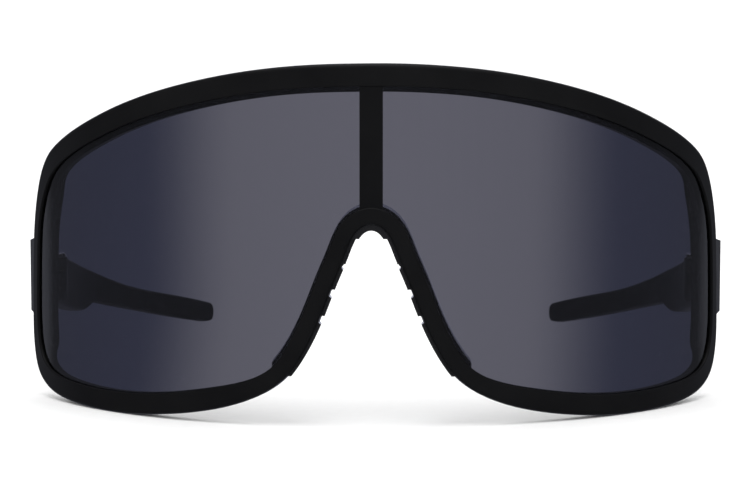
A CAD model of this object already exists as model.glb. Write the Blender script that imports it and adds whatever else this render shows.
import math

import bpy
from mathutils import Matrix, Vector


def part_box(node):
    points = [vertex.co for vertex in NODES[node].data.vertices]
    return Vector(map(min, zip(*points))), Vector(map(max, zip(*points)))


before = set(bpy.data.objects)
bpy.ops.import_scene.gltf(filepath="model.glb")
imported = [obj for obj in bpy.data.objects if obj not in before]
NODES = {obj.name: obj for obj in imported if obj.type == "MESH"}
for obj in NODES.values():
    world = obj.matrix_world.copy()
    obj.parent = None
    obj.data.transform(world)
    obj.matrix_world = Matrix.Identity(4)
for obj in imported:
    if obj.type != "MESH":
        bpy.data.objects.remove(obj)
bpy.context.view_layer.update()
SCENE = bpy.context.scene
SCENE.view_settings.view_transform = "Standard"

LENS_LOW, LENS_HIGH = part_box("lens")
LENS_R = 0.080
AXIS = Vector((0, LENS_LOW.y + LENS_R, 0))   # foot of the lens cylinder's upright axis

# Metres and degrees from here on.
CAMERA_ELEVATION = 5.35
CAMERA_AZIMUTH = 0.8
CAMERA_DISTANCE = 0.495
CAMERA_TARGET = Vector((0.0001, LENS_LOW.y + 0.045, 0.03025))
CAMERA_LENS = 113.1            # mm, on a sensor SENSOR_WIDTH mm wide
SENSOR_WIDTH = 36

FLOOR_SIZE = 60.0
SURROUND = 1.25                # brightness all round, except in reflections
# What reflections see: degrees away from straight behind the object, and brightness.
REFLECTED = [(0, 1.1), (30, 0.28), (55, 0.22), (60, 0.1), (90, 0.1), (180, 0.16)]
REFLECTED_TINT = (1.0, 1.03, 1.22)
SUN_STRENGTH = 0.4
SUN_SPREAD = 60
SUN_TILT = 15
KEY_SIZE = (0.8, 0.8)
KEY_PLACE = (0, -0.2, 0.9)
KEY_AIM = (0, -0.02, 0.03)
KEY_WATTS = 3

SHEET_FRONT = 0.53             # from the point that the sheet fans out from to the lens' axis
SHEET_BACK = 0.66              # from the same point to the upright part of the sheet
SHEET_HEIGHT = 0.30
SHEET_LIFT = 0.0004            # gap between the sheet and the floor
SHEET_HALF = 14                # degrees that the sheet reaches to either side
SHEET_STEPS = 120
SHEET_CLEAR = 0.0035           # from the lens' front face to the sheet's front edge
BRIGHT_TO = 3.5                # degrees to either side that are evenly bright
DARK_FROM = 6.0                # and beyond which the sheet is evenly dark
MIDDLE_TONE = (0.89, 0.88, 0.91)
SIDE_TONE = (0.25, 0.27, 0.38)


# ---- camera ----

def set_camera():
    elevation = math.radians(CAMERA_ELEVATION)
    azimuth = math.radians(CAMERA_AZIMUTH)
    back = Vector((math.sin(azimuth) * math.cos(elevation),
                   -math.cos(azimuth) * math.cos(elevation), math.sin(elevation)))
    data = bpy.data.cameras.new("camera")
    data.sensor_width = SENSOR_WIDTH
    data.lens = CAMERA_LENS
    data.clip_start = 0.01
    camera = bpy.data.objects.new("camera", data)
    camera.location = CAMERA_TARGET + back * CAMERA_DISTANCE
    camera.rotation_euler = (-back).to_track_quat("-Z", "Y").to_euler()
    SCENE.collection.objects.link(camera)
    SCENE.camera = camera


# ---- node helpers ----

def material(name):
    mat = bpy.data.materials.new(name)
    mat.use_nodes = True
    tree = mat.node_tree
    shader = next(n for n in tree.nodes if n.type == "BSDF_PRINCIPLED")
    return mat, tree, shader


def add(tree, kind, **values):
    node = tree.nodes.new(kind)
    for name, value in values.items():
        if name in node.inputs:
            node.inputs[name].default_value = value
        else:
            setattr(node, name, value)
    return node


def noise(tree, scale, detail=3.0, rough=0.55):
    coords = add(tree, "ShaderNodeTexCoord")
    found = add(tree, "ShaderNodeTexNoise", Scale=scale, Detail=detail, Roughness=rough)
    tree.links.new(coords.outputs["Object"], found.inputs["Vector"])
    return found.outputs["Fac"]


def ramp(tree, source, stops):
    node = add(tree, "ShaderNodeValToRGB")
    first, last = node.color_ramp.elements[0], node.color_ramp.elements[1]
    first.position, first.color = stops[0][0], (*stops[0][1], 1)
    last.position, last.color = stops[-1][0], (*stops[-1][1], 1)
    for place, colour in stops[1:-1]:
        node.color_ramp.elements.new(place).color = (*colour, 1)
    tree.links.new(source, node.inputs["Fac"])
    return node.outputs["Color"]


def spread(tree, source, low, high):
    """Noise stays mostly between 0.3 and 0.7, and is spread over low to high."""
    node = add(tree, "ShaderNodeMapRange")
    node.inputs["From Min"].default_value = 0.3
    node.inputs["From Max"].default_value = 0.7
    node.inputs["To Min"].default_value = low
    node.inputs["To Max"].default_value = high
    tree.links.new(source, node.inputs["Value"])
    return node.outputs["Result"]


def bump(tree, shader, layers):
    """Layers are (height source, distance in metres, strength)."""
    last = None
    for source, distance, strength in layers:
        node = add(tree, "ShaderNodeBump", Distance=distance, Strength=strength)
        tree.links.new(source, node.inputs["Height"])
        if last:
            tree.links.new(last.outputs["Normal"], node.inputs["Normal"])
        last = node
    tree.links.new(last.outputs["Normal"], shader.inputs["Normal"])


# ---- materials ----

def moulded(name, dark, light, rough, grain, depth, sheen=0.0, specular=0.5):
    """Moulded plastic or rubber: fine spark grain, slow tone drift, uneven gloss."""
    mat, tree, shader = material(name)
    drift = noise(tree, 60, 4)
    fine = noise(tree, grain, 2, 0.6)
    tree.links.new(ramp(tree, drift, [(0.3, dark), (0.7, light)]), shader.inputs["Base Color"])
    tree.links.new(spread(tree, drift, rough - 0.04, rough + 0.05), shader.inputs["Roughness"])
    shader.inputs["Specular IOR Level"].default_value = specular
    shader.inputs["Sheen Weight"].default_value = sheen
    shader.inputs["Sheen Roughness"].default_value = 0.4
    bump(tree, shader, [(fine, depth, 0.35), (drift, 0.00006, 0.15)])
    return mat


def smoke_lens():
    """Clear, slightly uneven gloss. The smoke tint is absorption, the same all over."""
    mat, tree, shader = material("smoke_lens")
    film = noise(tree, 35, 5, 0.6)
    shader.inputs["Base Color"].default_value = (1, 1, 1, 1)
    shader.inputs["Transmission Weight"].default_value = 1.0
    shader.inputs["IOR"].default_value = 1.58
    tree.links.new(spread(tree, film, 0.0, 0.035), shader.inputs["Roughness"])
    volume = add(tree, "ShaderNodeVolumeAbsorption", Color=(0.040, 0.040, 0.130, 1), Density=1200.0)
    out = next(n for n in tree.nodes if n.type == "OUTPUT_MATERIAL")
    tree.links.new(volume.outputs["Volume"], out.inputs["Volume"])
    return mat


def metal(name, colour, rough):
    mat, tree, shader = material(name)
    brush = noise(tree, 900, 2)
    shader.inputs["Metallic"].default_value = 1.0
    tree.links.new(ramp(tree, brush, [(0.3, tuple(c * 0.85 for c in colour)), (0.7, colour)]),
                   shader.inputs["Base Color"])
    tree.links.new(spread(tree, brush, rough - 0.06, rough + 0.08), shader.inputs["Roughness"])
    bump(tree, shader, [(brush, 0.00002, 0.3)])
    return mat


def give(names, mat):
    for name in names:
        data = NODES[name].data
        data.materials.clear()
        data.materials.append(mat)


def pair(name):
    return [name + "_left", name + "_right"]


def dress():
    give(["front_frame"] + pair("temple_arm"),
         moulded("frame_plastic", (0.0035, 0.0035, 0.004), (0.0055, 0.0055, 0.006),
                 0.45, 5200, 0.00002, specular=0.16))
    give(["centre_bar"],
         moulded("bar_plastic", (0.003, 0.003, 0.0035), (0.005, 0.005, 0.0055),
                 0.4, 5200, 0.00001, specular=0.16))
    give(["nose_pad"],
         moulded("pad_rubber", (0.006, 0.006, 0.006), (0.011, 0.011, 0.012), 0.2, 3600, 0.00002))
    give(pair("temple_tip"),
         moulded("tip_rubber", (0.005, 0.005, 0.006), (0.009, 0.009, 0.010),
                 0.6, 3600, 0.00003, sheen=0.05, specular=0.2))
    give(pair("temple_inlay"),
         moulded("inlay_plastic", (0.020, 0.014, 0.012), (0.030, 0.022, 0.018), 0.3, 6000, 0.00001))
    give(["lens"], smoke_lens())
    steel = metal("hinge_metal", (0.10, 0.10, 0.105), 0.38)
    bright = metal("screw_metal", (0.60, 0.60, 0.62), 0.25)
    give(pair("hinge_front_leaf") + pair("hinge_temple_leaf"), steel)
    give(pair("hinge_screw") + pair("hinge_front_rivets") + pair("hinge_temple_rivets"), bright)


# ---- floor and light ----

def set_floor():
    half = FLOOR_SIZE / 2
    mesh = bpy.data.meshes.new("floor")
    corners = [(-half, -half, 0), (half, -half, 0), (half, half, 0), (-half, half, 0)]
    mesh.from_pydata(corners, [], [(0, 1, 2, 3)])
    floor = bpy.data.objects.new("floor", mesh)
    SCENE.collection.objects.link(floor)
    mat, tree, shader = material("floor")
    fine = noise(tree, 400, 3)
    tree.links.new(ramp(tree, fine, [(0.3, (0.86, 0.86, 0.86)), (0.7, (0.88, 0.88, 0.88))]),
                   shader.inputs["Base Color"])
    shader.inputs["Roughness"].default_value = 0.9
    shader.inputs["Specular IOR Level"].default_value = 0.1
    floor.data.materials.append(mat)
    floor.visible_glossy = False


def set_key():
    data = bpy.data.lights.new("key", "AREA")
    data.shape = "RECTANGLE"
    data.size, data.size_y = KEY_SIZE
    data.energy = KEY_WATTS
    lamp = bpy.data.objects.new("key", data)
    lamp.location = KEY_PLACE
    lamp.rotation_euler = (Vector(KEY_PLACE) - Vector(KEY_AIM)).to_track_quat("Z", "Y").to_euler()
    lamp.visible_camera = False
    SCENE.collection.objects.link(lamp)


def set_world():
    """White all round. Reflections see a dimmer studio, brightest straight behind the object."""
    world = bpy.data.worlds.new("world")
    world.use_nodes = True
    tree = world.node_tree
    background = tree.nodes["Background"]
    coords = add(tree, "ShaderNodeTexCoord")
    split = add(tree, "ShaderNodeSeparateXYZ")
    tree.links.new(coords.outputs["Generated"], split.inputs["Vector"])
    turn = add(tree, "ShaderNodeMath", operation="ARCTAN2")
    tree.links.new(split.outputs["X"], turn.inputs[0])
    tree.links.new(split.outputs["Y"], turn.inputs[1])
    size = add(tree, "ShaderNodeMath", operation="ABSOLUTE")
    tree.links.new(turn.outputs["Value"], size.inputs[0])
    share = add(tree, "ShaderNodeMapRange")
    share.inputs["From Max"].default_value = math.pi
    tree.links.new(size.outputs["Value"], share.inputs["Value"])
    dim = [(angle / 180, tuple(level * c for c in REFLECTED_TINT)) for angle, level in REFLECTED]
    studio = ramp(tree, share.outputs["Result"], dim)
    path = add(tree, "ShaderNodeLightPath")
    mix = add(tree, "ShaderNodeMix", data_type="RGBA")
    tree.links.new(path.outputs["Is Glossy Ray"], mix.inputs["Factor"])
    plain, dimmed, mixed = mix.inputs[6], mix.inputs[7], mix.outputs[2]   # its colour sockets
    plain.default_value = (SURROUND, SURROUND, SURROUND, 1)
    tree.links.new(studio, dimmed)
    tree.links.new(mixed, background.inputs["Color"])
    background.inputs["Strength"].default_value = 1.0
    SCENE.world = world


def set_sun():
    data = bpy.data.lights.new("sun", "SUN")
    data.energy = SUN_STRENGTH
    data.angle = math.radians(SUN_SPREAD)
    lamp = bpy.data.objects.new("sun", data)
    lamp.rotation_euler = (math.radians(SUN_TILT), 0, 0)
    SCENE.collection.objects.link(lamp)


# ---- sheet behind the lens ----

def behind_lens(foot, angle):
    """Distance from the foot, along a bearing, to just behind the lens."""
    radius = LENS_R - SHEET_CLEAR
    away = AXIS - foot
    along = away.x * math.sin(angle) + away.y * math.cos(angle)
    aside = away.length_squared - along ** 2
    return along - math.sqrt(max(0.0, radius ** 2 - aside))


def sheet_mesh():
    """A fan on the floor that turns up at the back. Each point stores its bearing."""
    foot = Vector((0, AXIS.y - SHEET_FRONT, 0))
    half = math.radians(SHEET_HALF)
    verts, faces, turns = [], [], []
    for i in range(SHEET_STEPS + 1):
        angle = -half + 2 * half * i / SHEET_STEPS
        rows = ((behind_lens(foot, angle), SHEET_LIFT), (SHEET_BACK, SHEET_LIFT),
                (SHEET_BACK, SHEET_HEIGHT))
        verts += [(foot.x + r * math.sin(angle), foot.y + r * math.cos(angle), z) for r, z in rows]
        turns += [abs(math.degrees(angle))] * len(rows)
        if i:
            faces += [(3 * i - 3 + k, 3 * i + k, 3 * i + k + 1, 3 * i - 2 + k) for k in (0, 1)]
    mesh = bpy.data.meshes.new("backdrop")
    mesh.from_pydata(verts, [], faces)
    mesh.attributes.new("turn", "FLOAT", "POINT").data.foreach_set("value", turns)
    return mesh


def sheet_glow():
    mat = bpy.data.materials.new("backdrop")
    mat.use_nodes = True
    tree = mat.node_tree
    tree.nodes.clear()
    read = add(tree, "ShaderNodeAttribute", attribute_name="turn")
    fall = add(tree, "ShaderNodeMapRange", interpolation_type="SMOOTHSTEP")
    fall.inputs["From Min"].default_value = BRIGHT_TO
    fall.inputs["From Max"].default_value = DARK_FROM
    tree.links.new(read.outputs["Fac"], fall.inputs["Value"])
    tone = ramp(tree, fall.outputs["Result"], [(0.0, MIDDLE_TONE), (1.0, SIDE_TONE)])
    glow = add(tree, "ShaderNodeEmission", Strength=1.0)
    tree.links.new(tone, glow.inputs["Color"])
    out = add(tree, "ShaderNodeOutputMaterial")
    tree.links.new(glow.outputs["Emission"], out.inputs["Surface"])
    return mat


def backdrop():
    """Sheet on the floor and up behind the object, seen only through the lens.
    It is bright in the middle and falls off to a dark blue grey on both sides.
    It fans out from a point on the object's centre plane, near the camera's
    place, so that its bands stand upright in the main view."""
    sheet = bpy.data.objects.new("backdrop", sheet_mesh())
    SCENE.collection.objects.link(sheet)
    sheet.data.materials.append(sheet_glow())
    sheet.visible_camera = False
    sheet.visible_diffuse = False
    sheet.visible_glossy = False
    sheet.visible_shadow = False
    sheet.visible_volume_scatter = False


set_camera()
dress()
set_floor()
set_world()
set_sun()
backdrop()
set_key()
